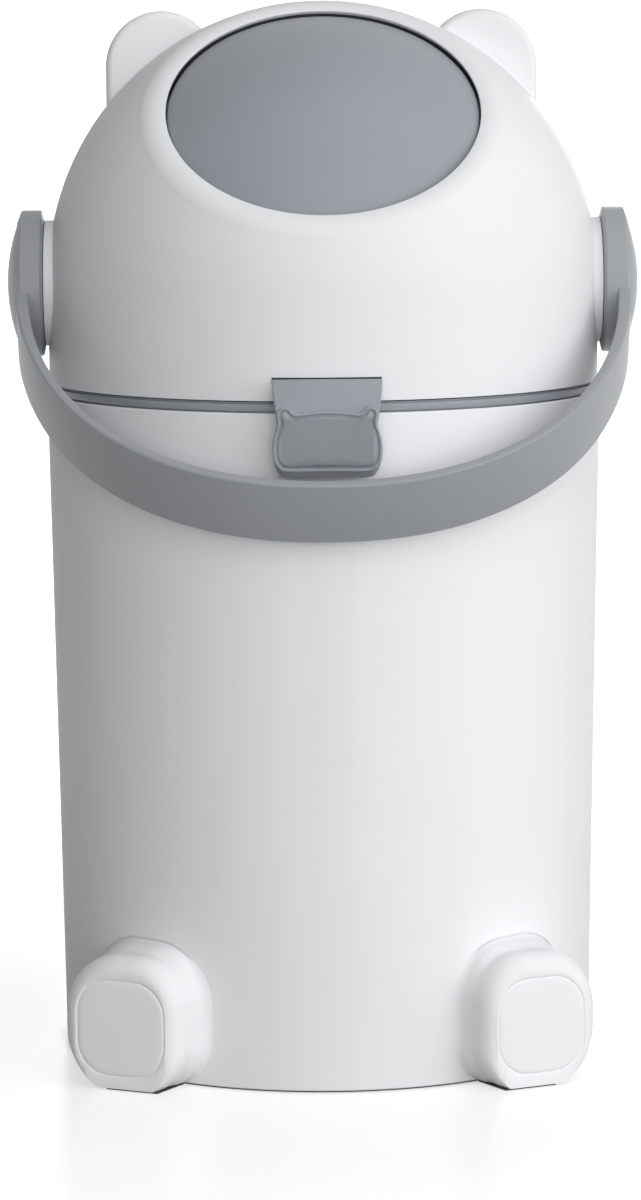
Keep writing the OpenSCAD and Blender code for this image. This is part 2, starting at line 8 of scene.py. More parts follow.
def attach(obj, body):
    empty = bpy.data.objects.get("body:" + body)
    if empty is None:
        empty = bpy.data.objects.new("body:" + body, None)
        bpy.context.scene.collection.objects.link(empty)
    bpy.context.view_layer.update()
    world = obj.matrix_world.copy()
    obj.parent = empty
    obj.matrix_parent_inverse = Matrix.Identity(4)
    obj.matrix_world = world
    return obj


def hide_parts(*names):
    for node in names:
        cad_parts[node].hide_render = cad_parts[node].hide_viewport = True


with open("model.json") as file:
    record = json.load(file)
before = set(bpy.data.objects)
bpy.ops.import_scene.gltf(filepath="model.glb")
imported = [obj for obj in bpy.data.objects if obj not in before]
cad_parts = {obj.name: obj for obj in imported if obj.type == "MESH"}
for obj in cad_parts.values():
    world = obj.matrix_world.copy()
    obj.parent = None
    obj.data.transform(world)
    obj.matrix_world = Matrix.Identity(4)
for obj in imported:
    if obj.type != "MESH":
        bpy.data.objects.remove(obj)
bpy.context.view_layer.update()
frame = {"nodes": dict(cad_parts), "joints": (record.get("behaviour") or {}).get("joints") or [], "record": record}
print("frame loaded:", len(frame["nodes"]), "nodes")

# Lengths are in millimetres; finishPiece brings a piece to metres.
mm = 0.001
jointPlace = {j["name"]: Vector(j.get("pos_m", (0, 0, 0))) / mm for j in frame["joints"]}
slideAxis = next(Vector(j["axis"]) for j in frame["joints"] if j["name"] == "piston_slide")
openTilt = atan2(-slideAxis.y, slideAxis.z)  # the opening leans this far to the front


# Camera, floor and light

camera = {
    "distance": 2300.0, "height": 523.2, "turn": -0.65, "pitch": 7.5, "roll": 0.403,
    "focal": 4636.0, "centreX": 325.05, "frameW": 641.0, "frameH": 1200.0,  # in pixels
    "sensor": 36.0, "nearest": 0.05,
}


def placeCamera(c):
    bpy.ops.object.camera_add()
    cam = bpy.context.object
    cam.name = "viewCamera"
    turn = radians(c["turn"])
    cam.location = Vector((sin(turn), -cos(turn), 0)) * c["distance"] * mm
    cam.location.z = c["height"] * mm
    tip = Matrix.Rotation(radians(90 - c["pitch"]), 3, "X")
    roll = Matrix.Rotation(radians(-c["roll"]), 3, "Z")
    cam.rotation_euler = (Matrix.Rotation(turn, 3, "Z") @ tip @ roll).to_euler()
    cam.data.sensor_width = c["sensor"]
    cam.data.lens = c["focal"] * cam.data.sensor_width / c["frameH"]
    cam.data.shift_x = (c["frameW"] / 2 - c["centreX"]) / c["frameH"]
    cam.data.clip_start = c["nearest"]
    bpy.context.scene.camera = cam


# Places and sizes in metres
studio = {
    "worldLow": -2.6, "worldHigh": 1.8, "worldLeast": 0.01, "worldTurn": 38.0, "worldRise": 14.0,
    "worldColour": (0.97, 0.985, 1, 1), "lookAt": (0, 0, 0.28),
    "frontPower": 9.6, "frontSize": 1.2, "frontPlace": (0.05, -2.65, 0.45),
    "sidePower": 3.6, "sideSize": 1.0, "sidePlace": (2.2, 0.0, 0.2),
    "backPower": 20.0, "backSize": 1.1, "backPlace": (0.35, 2.4, 0.62),
    "keyPower": 6.1, "keySize": 1.2, "keyPlace": (1.8, -1.4, 0.25),
    "topPower": 2.2, "topSize": 1.6, "topPlace": (0.3, -0.5, 2.2),
    "floorSize": 1600.0, "floorColour": (0.42, 0.42, 0.417, 1), "floorRough": 0.22,
    "floorShine": 0.12, "floorLift": 0.6,
    "liftNear": 0.120, "liftFull": 0.138, "fadeNear": 0.17, "fadeFull": 0.8,
}


def softLight(name, power, size, place, target):
    bpy.ops.object.light_add(type="AREA", location=place)
    lamp = bpy.context.object
    lamp.name = name
    lamp.data.energy = power
    lamp.data.shape = "DISK"
    lamp.data.size = size
    lamp.rotation_euler = (Vector(place) - Vector(target)).to_track_quat("Z", "Y").to_euler()


# 1 for rays from the camera and in reflections and glass, so that those show a white studio
def seenRay(nodes, links):
    path = nodes.new("ShaderNodeLightPath")
    seen = nodes.new("ShaderNodeMath")
    seen.operation = "MAXIMUM"
    clear = nodes.new("ShaderNodeMath")
    clear.operation = "MAXIMUM"
    links.new(path.outputs["Is Camera Ray"], seen.inputs[0])
    links.new(path.outputs["Is Glossy Ray"], seen.inputs[1])
    links.new(seen.outputs[0], clear.inputs[0])
    links.new(path.outputs["Is Transmission Ray"], clear.inputs[1])
    return clear.outputs[0]


# Light that comes mostly from the front right and fades to nothing at the back left
def lightWorld(s):
    world = bpy.data.worlds.new("studioWorld")
    bpy.context.scene.world = world
    world.use_nodes = True
    nodes, links = world.node_tree.nodes, world.node_tree.links
    nodes.clear()
    coord = nodes.new("ShaderNodeTexCoord")
    dot = nodes.new("ShaderNodeVectorMath")
    dot.operation = "DOT_PRODUCT"
    rise, turn = radians(s["worldRise"]), radians(s["worldTurn"])
    dot.inputs[1].default_value = (cos(rise) * sin(turn), -cos(rise) * cos(turn), sin(rise))
    spread = nodes.new("ShaderNodeMapRange")
    spread.inputs["From Min"].default_value = -1
    spread.inputs["To Min"].default_value = s["worldLow"]
    spread.inputs["To Max"].default_value = s["worldHigh"]
    least = nodes.new("ShaderNodeMath")
    least.operation = "MAXIMUM"
    least.inputs[1].default_value = s["worldLeast"]
    light = nodes.new("ShaderNodeBackground")
    light.inputs["Color"].default_value = s["worldColour"]
    out = nodes.new("ShaderNodeOutputWorld")
    links.new(coord.outputs["Generated"], dot.inputs[0])
    links.new(dot.outputs["Value"], spread.inputs["Value"])
    links.new(spread.outputs["Result"], least.inputs[0])
    links.new(least.outputs[0], light.inputs["Strength"])
    white = nodes.new("ShaderNodeBackground")
    both = nodes.new("ShaderNodeMixShader")
    white.inputs["Color"].default_value = (1, 1, 1, 1)
    links.new(seenRay(nodes, links), both.inputs["Fac"])
    links.new(light.outputs[0], both.inputs[1])
    links.new(white.outputs[0], both.inputs[2])
    links.new(both.outputs[0], out.inputs["Surface"])


# The floor is lifted to white for the camera, but not under the bin, where its shadow lies
def layFloor(s):
    bpy.ops.mesh.primitive_plane_add(size=s["floorSize"], location=(0, 0, 0))
    floor = bpy.context.object
    floor.name = "studioFloor"
    material = bpy.data.materials.new("floorWhite")
    material.use_nodes = True
    nodes, links = material.node_tree.nodes, material.node_tree.links
    shader = nodes["Principled BSDF"]
    shader.inputs["Base Color"].default_value = s["floorColour"]
    shader.inputs["Roughness"].default_value = s["floorRough"]
    shader.inputs["Specular IOR Level"].default_value = s["floorShine"]
    shader.inputs["Emission Color"].default_value = (1, 1, 1, 1)
    coord = nodes.new("ShaderNodeTexCoord")
    away = nodes.new("ShaderNodeVectorMath")
    away.operation = "LENGTH"
    near = nodes.new("ShaderNodeMapRange")
    near.interpolation_type = "SMOOTHSTEP"
    near.inputs["From Min"].default_value = s["liftNear"]
    near.inputs["From Max"].default_value = s["liftFull"]
    near.inputs["To Max"].default_value = s["floorLift"]
    fade = nodes.new("ShaderNodeMapRange")
    fade.interpolation_type = "SMOOTHSTEP"
    fade.inputs["From Min"].default_value = s["fadeNear"]
    fade.inputs["From Max"].default_value = s["fadeFull"]
    fade.inputs["To Max"].default_value = 1 - s["floorLift"]
    both = nodes.new("ShaderNodeMath")
    both.operation = "ADD"
    lift = nodes.new("ShaderNodeMath")
    lift.operation = "MULTIPLY"
    links.new(coord.outputs["Object"], away.inputs[0])
    links.new(away.outputs["Value"], near.inputs["Value"])
    links.new(away.outputs["Value"], fade.inputs["Value"])
    links.new(near.outputs["Result"], both.inputs[0])
    links.new(fade.outputs["Result"], both.inputs[1])
    links.new(seenRay(nodes, links), lift.inputs[0])
    links.new(both.outputs[0], lift.inputs[1])
    links.new(lift.outputs[0], shader.inputs["Emission Strength"])
    floor.data.materials.append(material)


placeCamera(camera)
lightWorld(studio)
layFloor(studio)
for lamp in ("key", "front", "side", "back", "top"):
    softLight(lamp + "Light", studio[lamp + "Power"], studio[lamp + "Size"],
              studio[lamp + "Place"], studio["lookAt"])
bpy.context.scene.view_settings.view_transform = "Standard"
print("camera, floor and light placed")


# Materials

finishes = {
    "white_plastic": {"colour": (0.86, 0.862, 0.87), "vary": 0.02, "rough": 0.5, "grain": 0.05,
                      "shine": 0.2},
    "grey_plastic": {"colour": (0.322, 0.345, 0.374), "vary": 0.03, "rough": 0.44, "grain": 0.06,
                     "shine": 0.4},
    "seal_rubber": {"colour": (0.035, 0.036, 0.04), "vary": 0.08, "rough": 0.7, "grain": 0.12},
    "bush_nylon": {"colour": (0.74, 0.73, 0.69), "vary": 0.03, "rough": 0.4, "grain": 0.04},
    "steel": {"colour": (0.6, 0.6, 0.6), "vary": 0.06, "rough": 0.28, "grain": 0.03, "metal": 1.0},
}
# The fine eroded skin of a moulded part; sizes are in noise cells per metre
skin = {
    "cloudSize": 14.0, "cloudDetail": 3.0, "grainSize": 2600.0, "grainDetail": 2.0,
    "glossVary": 0.05, "bumpHeight": 0.0001,
}


# Painted shade: a rounded field that looks along Y, where the colour is a little darker than the rest
def paintPanelShade(nodes, links, coord, tint, shader, field):
    place = nodes.new("ShaderNodeVectorMath")
    place.operation = "SUBTRACT"
    place.inputs[1].default_value = field["centre"]
    size = nodes.new("ShaderNodeVectorMath")
    size.operation = "ABSOLUTE"
    beyond = nodes.new("ShaderNodeVectorMath")
    beyond.operation = "SUBTRACT"
    beyond.inputs[1].default_value = field["half"]
    parts = nodes.new("ShaderNodeSeparateXYZ")
    most = nodes.new("ShaderNodeMath")
    most.operation = "MAXIMUM"
    inside = nodes.new("ShaderNodeMapRange")
    inside.interpolation_type = "SMOOTHSTEP"
    inside.inputs["From Max"].default_value = field["soft"]
    inside.inputs["To Min"].default_value = field["darker"]
    inside.inputs["To Max"].default_value = 1.0
    scaled = nodes.new("ShaderNodeVectorMath")
    scaled.operation = "SCALE"
    links.new(coord.outputs["Object"], place.inputs[0])
    links.new(place.outputs["Vector"], size.inputs[0])
    links.new(size.outputs["Vector"], beyond.inputs[0])
    links.new(beyond.outputs["Vector"], parts.inputs[0])
    links.new(parts.outputs["X"], most.inputs[0])
    links.new(parts.outputs["Z"], most.inputs[1])
    links.new(most.outputs[0], inside.inputs["Value"])
    links.new(tint.outputs["Result"], scaled.inputs[0])
    links.new(inside.outputs["Result"], scaled.inputs["Scale"])
    links.new(scaled.outputs["Vector"], shader.inputs["Base Color"])


def mouldedFinish(name, f):
    material = bpy.data.materials.new(name)
    material.use_nodes = True
    nodes, links = material.node_tree.nodes, material.node_tree.links
    shader = nodes["Principled BSDF"]
    shader.inputs["Metallic"].default_value = f.get("metal", 0.0)
    shader.inputs["Specular IOR Level"].default_value = f.get("shine", 0.5)
    coord = nodes.new("ShaderNodeTexCoord")
    cloud = nodes.new("ShaderNodeTexNoise")
    cloud.inputs["Scale"].default_value = skin["cloudSize"]
    cloud.inputs["Detail"].default_value = skin["cloudDetail"]
    links.new(coord.outputs["Object"], cloud.inputs["Vector"])
    tint = nodes.new("ShaderNodeMix")
    tint.data_type = "RGBA"
    low, high = 1 - f["vary"], 1 + f["vary"]
    tint.inputs["A"].default_value = [c * low for c in f["colour"]] + [1]
    tint.inputs["B"].default_value = [min(c * high, 1) for c in f["colour"]] + [1]
    links.new(cloud.outputs["Fac"], tint.inputs["Factor"])
    links.new(tint.outputs["Result"], shader.inputs["Base Color"])
    # A panel field darkens the colour inside it: painted shade
    if "panel" in f:
        paintPanelShade(nodes, links, coord, tint, shader, f["panel"])
    grain = nodes.new("ShaderNodeTexNoise")
    grain.inputs["Scale"].default_value = skin["grainSize"]
    grain.inputs["Detail"].default_value = skin["grainDetail"]
    links.new(coord.outputs["Object"], grain.inputs["Vector"])
    gloss = nodes.new("ShaderNodeMapRange")
    gloss.inputs["To Min"].default_value = f["rough"] - skin["glossVary"]
    gloss.inputs["To Max"].default_value = f["rough"] + skin["glossVary"]
    links.new(grain.outputs["Fac"], gloss.inputs["Value"])
    links.new(gloss.outputs["Result"], shader.inputs["Roughness"])
    bump = nodes.new("ShaderNodeBump")
    bump.inputs["Strength"].default_value = f["grain"]
    bump.inputs["Distance"].default_value = skin["bumpHeight"]
    links.new(grain.outputs["Fac"], bump.inputs["Height"])
    links.new(bump.outputs["Normal"], shader.inputs["Normal"])
    return material


# The latch panel's painted shade; in metres, as Object coordinates are
latchPanelShade = {
    "centre": (0, 0, 0.3138), "half": (0.0205, 1, 0.0104), "soft": 0.0026, "darker": 0.74,
}
strapColour = (0.334, 0.348, 0.361)
materials = {name: mouldedFinish(name + "_look", f) for name, f in finishes.items()}
# The latch's grey, with painted shade darkening its raised panel
latchShadeLook = mouldedFinish("latch_grey_look", dict(finishes["grey_plastic"], panel=latchPanelShade))
strapLook = mouldedFinish("strap_grey_look", dict(finishes["grey_plastic"], colour=strapColour))
slotOf = {s["node"]: s["material_slot"] for s in frame["record"]["subparts"]}
for nodeName, cadPiece in frame["nodes"].items():
    for k in range(len(cadPiece.material_slots)):
        cadPiece.material_slots[k].material = materials[slotOf[nodeName]]
print("materials made:", len(materials))


# Modelling helpers

def clearSelection():
    if bpy.context.object and bpy.context.object.mode != "OBJECT":
        bpy.ops.object.mode_set(mode="OBJECT")
    bpy.ops.object.select_all(action="DESELECT")


def pickOnly(piece):
    clearSelection()
    piece.select_set(True)
    bpy.context.view_layer.objects.active = piece


# Welds doubles and turns the faces outwards
def settleMesh(threshold=0.002):
    bpy.ops.object.mode_set(mode="EDIT")
    bpy.ops.mesh.select_all(action="SELECT")
    bpy.ops.mesh.remove_doubles(threshold=threshold)
    bpy.ops.mesh.normals_make_consistent(inside=False)
    bpy.ops.object.mode_set(mode="OBJECT")


def arcPoints(centre, radius, start, end, steps):
    turns = [radians(start + (end - start) * k / steps) for k in range(steps + 1)]
    return [(centre[0] + radius * cos(t), centre[1] + radius * sin(t)) for t in turns]


# A corner given as (x, y, radius) becomes an arc
def softened(outline, steps=4):
    result = []
    for k, corner in enumerate(outline):
        here = Vector(corner[:2])
        if len(corner) < 3:
            result.append(tuple(here))
            continue
        before = (Vector(outline[k - 1][:2]) - here).normalized()
        after = (Vector(outline[(k + 1) % len(outline)][:2]) - here).normalized()
        half = before.angle(after) / 2
        centre = here + (before + after).normalized() * corner[2] / sin(half)
        first = here + before * corner[2] / tan(half) - centre
        last = here + after * corner[2] / tan(half) - centre
        start, end = atan2(first.y, first.x), atan2(last.y, last.x)
        sweep = (end - start + pi) % (2 * pi) - pi
        for i in range(steps + 1):
            turn = start + sweep * i / steps
            result.append((centre.x + corner[2] * cos(turn), centre.y + corner[2] * sin(turn)))
    return result


# A closed outline of (radius, height) points, spun about the axis
def turnProfile(name, profile, steps=256):
    clearSelection()
    bpy.ops.mesh.primitive_circle_add(vertices=len(profile), radius=1)
    piece = bpy.context.object
    piece.name = name
    for point, (r, h) in zip(piece.data.vertices, profile):
        point.co = (r, 0, h)
    bpy.ops.object.mode_set(mode="EDIT")
    bpy.ops.mesh.select_all(action="SELECT")
    bpy.ops.mesh.spin(steps=steps, angle=2 * pi, center=(0, 0, 0), axis=(0, 0, 1))
    bpy.ops.object.mode_set(mode="OBJECT")
    settleMesh()
    return piece


# A grid whose rows are laid on rings and whose sides are welded
def wrapGrid(name, rings):
    clearSelection()
    columns = len(rings[0])
    bpy.ops.mesh.primitive_grid_add(x_subdivisions=columns, y_subdivisions=len(rings) - 1, size=1)
    piece = bpy.context.object
    piece.name = name
    places = [value for ring in rings for point in list(ring) + [ring[0]] for value in point]
    piece.data.vertices.foreach_set("co", places)
    settleMesh()
    return piece


# Closes the two open ends of a wrapped grid
def fillEnds(piece):
    pickOnly(piece)
    bpy.ops.object.mode_set(mode="EDIT")
    bpy.ops.mesh.select_all(action="DESELECT")
    bpy.ops.mesh.select_mode(type="EDGE")
    bpy.ops.mesh.select_non_manifold(extend=False)
    bpy.ops.mesh.edge_face_add()
    bpy.ops.mesh.select_mode(type="VERT")
    bpy.ops.object.mode_set(mode="OBJECT")
    settleMesh()


# An outline in Y and Z, drawn out along X with softened edges
def prismAlongX(name, outline, x0, x1, edge=0.0):
    clearSelection()
    bpy.ops.mesh.primitive_circle_add(vertices=len(outline), radius=1, fill_type="NGON")
    piece = bpy.context.object
    piece.name = name
    for point, (y, z) in zip(piece.data.vertices, outline):
        point.co = (x0, y, z)
    bpy.ops.object.mode_set(mode="EDIT")
    bpy.ops.mesh.select_all(action="SELECT")
    bpy.ops.mesh.extrude_region_move(TRANSFORM_OT_translate={"value": (x1 - x0, 0, 0)})
    bpy.ops.object.mode_set(mode="OBJECT")
    settleMesh()
    if edge:
        soften = piece.modifiers.new("edges", "BEVEL")
        soften.width = edge
        soften.segments = 3
        soften.angle_limit = radians(50)
        pickOnly(piece)
        bpy.ops.object.modifier_apply(modifier=soften.name)
    return piece


def combine(piece, tool, operation):
    pickOnly(piece)
    step = piece.modifiers.new("combine", "BOOLEAN")
    step.operation = operation
    step.solver = "MANIFOLD"
    step.object = tool
    bpy.ops.object.modifier_apply(modifier=step.name)
    bpy.data.objects.remove(tool, do_unlink=True)


def rodAlongX(name, radius, x0, x1, y, z, sides=48):
    ring = arcPoints((y, z), radius, 0, 360, sides)[:-1]
    return prismAlongX(name, ring, x0, x1)


def moveInto(piece, matrix):
    pickOnly(piece)
    piece.matrix_world = matrix
    bpy.ops.object.transform_apply(location=True, rotation=True, scale=True)


def mirroredCopy(piece, name):
    pickOnly(piece)
    bpy.ops.object.duplicate(linked=False)
    copy = bpy.context.object
    copy.name = name
    copy.scale.x = -1
    bpy.ops.object.transform_apply(location=True, rotation=True, scale=True)
    settleMesh()
    return copy


def finishPiece(piece, body, finish, *nodes, smoothAngle=35, look=None):
    pickOnly(piece)
    piece.scale = (mm, mm, mm)
    bpy.ops.object.transform_apply(location=True, rotation=True, scale=True)
    bpy.ops.object.shade_smooth_by_angle(angle=radians(smoothAngle))
    piece.data.materials.clear()
    piece.data.materials.append(look or materials[finish])
    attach(piece, body)
    if nodes:
        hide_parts(*nodes)
    print("piece", piece.name, "faces", len(piece.data.polygons))


# A smooth closed curve through the points, perSpan steps from one to the next
def closedCurve(points, perSpan):
    count = len(points)
    spots = [Vector(p) for p in points]
    gaps = [(spots[(i + 1) % count] - spots[i]).length for i in range(count)]
    slopes = []
    for i in range(count):
        back = (spots[i] - spots[i - 1]) / gaps[i - 1]
        ahead = (spots[(i + 1) % count] - spots[i]) / gaps[i]
        slopes.append((back * gaps[i] + ahead * gaps[i - 1]) / (gaps[i - 1] + gaps[i]))
    curve = []
    for i in range(count):
        a, b = spots[i], spots[(i + 1) % count]
        u, v = slopes[i] * gaps[i], slopes[(i + 1) % count] * gaps[i]
        for k in range(perSpan):
            t = k / perSpan
            curve.append(a * (2 * t**3 - 3 * t**2 + 1) + u * (t**3 - 2 * t**2 + t)
                         + b * (3 * t**2 - 2 * t**3) + v * (t**3 - t**2))
    return curve


def offsetOutward(ring, distance):
    area = sum(a.x * b.y - b.x * a.y for a, b in zip(ring, ring[1:] + ring[:1]))
    sign = 1 if area > 0 else -1
    moved = []
    for i, here in enumerate(ring):
        along = (ring[(i + 1) % len(ring)] - ring[i - 1]).normalized()
        moved.append(here + Vector((along.y, -along.x)) * sign * distance)
    return moved


# Head

pivot = jointPlace["handle_swing"]
hinge = jointPlace["head_hinge"]
latchPin = jointPlace["latch_hinge"]

head = {
    "radius": 136.0, "wall": 3.0, "lowEdge": 331.6, "domeLift": 2.0, "edge": 0.5,
    "openR": 75.6, "flatR": 77.8, "blend": 16.0, "holeEdge": 0.5,
    "lip": 0.9, "lipCut": 1.3, "lipEdge": 0.4, "lowTurn": -42.0, "flatIn": 7.8,
    "slotLow": 336.5, "slotTop": 343.1, "slotBack": -134.3, "slotFront": -140.0, "slotHalf": 26.6,
    "stubR": 31.0, "stubIn": 129.5, "stubOut": 137.2, "boreR": 18.15, "boreIn": 120.0,
    "earR": 27.3, "earX": 78.96, "earRise": 104.03, "earBack": 26.0, "earEdge": 3.6,
    "earFoot": 55.0, "earTrimR": 134.6,
    "hingeHalf": 20.0, "hingeWall": 134.5, "hingeLow": 332.6, "hingeHigh": 346.6,
    "pinLugR": 2.8, "pinLugHalf": 22.0, "pinNeckBack": 6.0, "pinNeckTop": 0.4,
}
boreHalf = 60.0  # the hinge's bore is cut through all of its lugs
hingeBoreR = 2.55
pinBoreR = 1.3
lugRadius = 5.5


def domeProfile(h):
    flat = sqrt(h["radius"] ** 2 - (h["openR"] + h["flatIn"]) ** 2)
    centre = (h["flatR"], flat - h["blend"])
    tangent = degrees(atan2(centre[1], centre[0]))
    low = h["lowTurn"]
    outer = arcPoints((0, 0), h["radius"], low, tangent, 96)
    blend = arcPoints(centre, h["blend"], tangent, 90, 24)[1:]
    edge = arcPoints((h["openR"] + h["holeEdge"], flat - h["holeEdge"]), h["holeEdge"], 90, 180, 6)
    inner = h["radius"] - h["wall"]
    under = flat - h["wall"]
    cut = h["openR"] + h["lipCut"]
    lip = flat - h["lip"]
    return (outer + blend + edge + [(h["openR"], lip), (cut, lip - h["lipEdge"]), (cut, under)]
            + arcPoints((0, 0), inner, degrees(atan2(under, sqrt(inner**2 - under**2))), low, 72))


def buildEar(h, domeZ):
    sides = 72
    halo = arcPoints((0, 0), 1.0, 0, 180, sides)
    rings = []
    edge, back = h["earEdge"], h["earBack"]
    front = [(edge * (1 - sin(radians(7.5 * k))), edge * (1 - cos(radians(7.5 * k))))
             for k in range(13)]
    for inset, depth in [(h["earR"], 0.0)] + front + [(d, back - y) for d, y in front[::-1]] \
            + [(h["earR"], back)]:
        r = h["earR"] - inset
        top = [(h["earX"] + r * x, depth, domeZ + h["earRise"] + r * z) for x, z in halo]
        foot = domeZ + h["earFoot"]
        rings.append([(h["earX"] + r, depth, foot)] + top + [(h["earX"] - r, depth, foot)])
    return wrapGrid("ear", rings)


# A lug round the hinge's pin, its flanks drawn tangent to a wall
def hingeLug(x0, x1, wallY, zLow, zHigh):
    def tangent(y, z, way):
        dy, dz = y - hinge.y, z - hinge.z
        return degrees(atan2(dz, dy)) + way * degrees(acos(lugRadius / hypot(dy, dz)))
    start = tangent(wallY, zLow, 1) % 360
    end = tangent(wallY, zHigh, -1) % 360 + 360
    outline = [(wallY, zLow)] + arcPoints((hinge.y, hinge.z), lugRadius, start, end, 28)
    return prismAlongX("hingeLug", outline + [(wallY, zHigh)], x0, x1, edge=0.7)


def cutHingeBore(piece):
    bore = rodAlongX("hingeBore", hingeBoreR, -boreHalf, boreHalf, hinge.y, hinge.z, 32)
    combine(piece, bore, "DIFFERENCE")


def cutPinBore(piece):
    bore = rodAlongX("pinBore", pinBoreR, -boreHalf / 2, boreHalf / 2, latchPin.y, latchPin.z, 24)
    combine(piece, bore, "DIFFERENCE")


def buildHead(h):
    domeZ = pivot.z + h["domeLift"]
    shell = turnProfile("headShell", domeProfile(h))
    moveInto(shell, Matrix.Translation((0, 0, domeZ)) @ Matrix.Rotation(openTilt, 4, "X"))
    bpy.ops.object.mode_set(mode="EDIT")
    bpy.ops.mesh.select_all(action="SELECT")
    bpy.ops.mesh.bisect(plane_co=(0, 0, domeZ), plane_no=(0, 0, 1), clear_inner=True)
    bpy.ops.mesh.select_all(action="DESELECT")
    bpy.ops.mesh.select_mode(type="EDGE")
    bpy.ops.mesh.select_non_manifold(extend=False)
    drop = h["lowEdge"] + h["edge"] - domeZ
    bpy.ops.mesh.extrude_region_move(TRANSFORM_OT_translate={"value": (0, 0, drop)})
    bpy.ops.mesh.bridge_edge_loops()
    bpy.ops.mesh.select_mode(type="VERT")
    bpy.ops.object.mode_set(mode="OBJECT")
    settleMesh()
    trim = h["earTrimR"]
    ball = [(0, -trim)] + arcPoints((0, 0), trim, -88, 88, 64) + [(0, trim)]
    tool = turnProfile("domeTrim", ball)
    moveInto(tool, Matrix.Translation((0, 0, domeZ)))
    ear = buildEar(h, domeZ)
    combine(ear, tool, "DIFFERENCE")
    otherEar = mirroredCopy(ear, "otherEar")
    for part in (ear, otherEar):
        combine(shell, part, "UNION")
    for side in (-1, 1):
        stub = turnProfile("stub", softened([(h["boreR"], h["stubIn"]), (h["stubR"], h["stubIn"]),
                                             (h["stubR"], h["stubOut"], 0.4),
                                             (h["boreR"], h["stubOut"])]), 128)
        moveInto(stub, Matrix.Translation(pivot) @ Matrix.Rotation(side * pi / 2, 4, "Y"))
        combine(shell, stub, "UNION")
        bore = rodAlongX("bore", h["boreR"], side * h["boreIn"], side * (h["boreIn"] + 20),
                         pivot.y, pivot.z)
        combine(shell, bore, "DIFFERENCE")
    slot = [(h["slotFront"], h["slotLow"]), (h["slotBack"], h["slotLow"]),
            (h["slotBack"], h["slotTop"]), (h["slotFront"], h["slotTop"])]
    combine(shell, prismAlongX("latchSlot", slot, -h["slotHalf"], h["slotHalf"]), "DIFFERENCE")
    combine(shell, hingeLug(-h["hingeHalf"], h["hingeHalf"], h["hingeWall"], h["hingeLow"],
                            h["hingeHigh"]), "UNION")
    y0, y1 = latchPin.y, latchPin.y + h["pinNeckBack"]
    z0, z1 = latchPin.z - h["pinLugR"], latchPin.z - h["pinNeckTop"]
    half = h["pinLugHalf"]
    neck = [(y0, z0), (y1, z0), (y1, z1), (y0, z1)]
    combine(shell, prismAlongX("latchNeck", neck, -half, half), "UNION")
    combine(shell, rodAlongX("latchLug", h["pinLugR"], -half, half, y0, latchPin.z), "UNION")
    cutPinBore(shell)
    cutHingeBore(shell)
    finishPiece(shell, "head", "white_plastic", "head_shell", smoothAngle=30)


# The raised disc of the drum that stands in the opening at rest. Its lower part is flush, so that
# it passes the rubber ring under the drum.
drumDisc = {
    "radius": 74.9, "ballR": 127.0, "rise": 3.5, "least": 0.1, "edge": 0.6, "sink": 0.3,
    "fadeFrom": -0.64, "fadeOver": 0.5, "shoulder": 1.5,
    "crown": (1.0, 0.97, 0.93, 0.88, 0.82, 0.75, 0.67, 0.58, 0.48, 0.37, 0.25, 0.12, 0.0),
}


def buildDisc(d):
    sides = 144
    halo = arcPoints((0, 0), 1.0, 0, 360, sides)[:-1]

    def ringAt(r, drop):
        ring = []
        for x, y in halo:
            fade = min(max((y * r / d["radius"] - d["fadeFrom"]) / d["fadeOver"], 0.0), 1.0)
            rise = d["least"] + (d["rise"] - d["least"]) * fade * fade * (3 - 2 * fade)
            ball = d["ballR"] + max(rise - drop, -d["sink"])
            ring.append((x * r, y * r, sqrt(ball**2 - r**2)))
        return ring

    radius, edge, inner = d["radius"], d["edge"], d["radius"] - d["shoulder"]
    sunk = d["rise"] + d["sink"]  # a drop to the disc's underside
    under = [ringAt(inner * share, sunk) for share in (0.0, 0.4, 0.8)]
    rings = [ringAt(radius - edge * 2, sunk), ringAt(radius, sunk)]
    for turn in (radians(a) for a in (0, 22.5, 45, 67.5, 90)):
        rings.append(ringAt(radius - edge * (1 - cos(turn)), edge * (1 - sin(turn))))
    rings += [ringAt(inner * share, 0.0) for share in d["crown"]]
    disc = wrapGrid("drumDisc", under + rings)
    moveInto(disc, Matrix.Translation(pivot) @ Matrix.Rotation(openTilt, 4, "X"))
    finishPiece(disc, "drum", "grey_plastic", smoothAngle=30)


buildDisc(drumDisc)

buildHead(head)


# Bin and bag ring

binBody = {
    "baseR": 131.6, "rimR": 137.1, "height": 326.4, "wall": 3.0, "floor": 3.5,
    "footRound": 0.9, "rimRound": 0.7, "footGap": 0.5, "footInset": 3.0,
    "lugIn": 29.5, "lugOut": 38.5, "lugWall": 135.0, "lugLow": 294.4, "lugHigh": 323.4,
    "ribFront": -141.0, "ribMiddle": 315.0, "ribRoot": (311.7, 317.7), "ribNose": (313.3, 314.7),
    "ribHalf": 11.7, "ribSink": 1.5,
}


# The bin's outer radius at a height
def coneR(z):
    return binBody["baseR"] + (binBody["rimR"] - binBody["baseR"]) * z / binBody["height"]


# Paws: soft pads whose neck flows into the bin on its inner side

